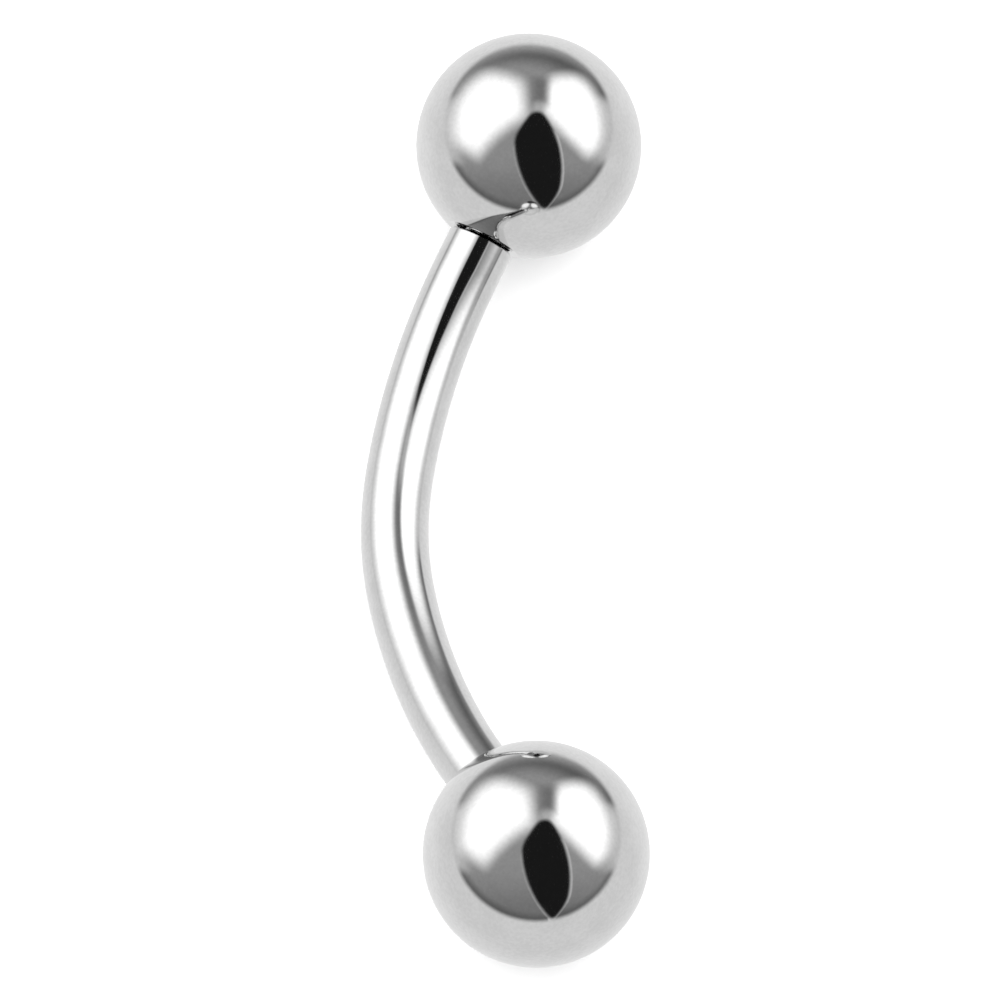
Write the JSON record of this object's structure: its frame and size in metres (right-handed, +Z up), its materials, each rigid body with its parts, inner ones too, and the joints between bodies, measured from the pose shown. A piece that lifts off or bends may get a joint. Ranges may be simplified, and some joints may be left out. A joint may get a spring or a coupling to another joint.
{
  "type": "curved eyebrow barbell",
  "caption": "Bent round steel bar, worn through a piercing at the brow, with a polished ball screwed onto each threaded end.",
  "frame": {"origin": "middle of the bounding box, on the surface that the barbell lies on", "axes": "+Z up, +X from the upper ball to the lower ball, and the bend bows towards -Y and down"},
  "size_m": [0.018, 0.005, 0.004],
  "materials": {
    "bar_steel": "mirror-polished surgical steel, with faint lengthwise polishing lines",
    "ball_steel": "mirror-polished surgical steel, very slightly mottled"
  },
  "bodies": {
    "bar": {"curved_bar": "bar_steel"},
    "upper_ball": {"upper_ball": "ball_steel"},
    "lower_ball": {"lower_ball": "ball_steel"}
  },
  "joints": [
    {"name": "upper_ball_unscrew", "type": "slide", "parent": "bar", "child": "upper_ball", "axis": [-0.8572, 0.4465, 0.2567], "range_m": [0, 0.0032]},
    {"name": "lower_ball_unscrew", "type": "slide", "parent": "bar", "child": "lower_ball", "axis": [0.8572, 0.4465, 0.2567], "range_m": [0, 0.0032]}
  ]
}
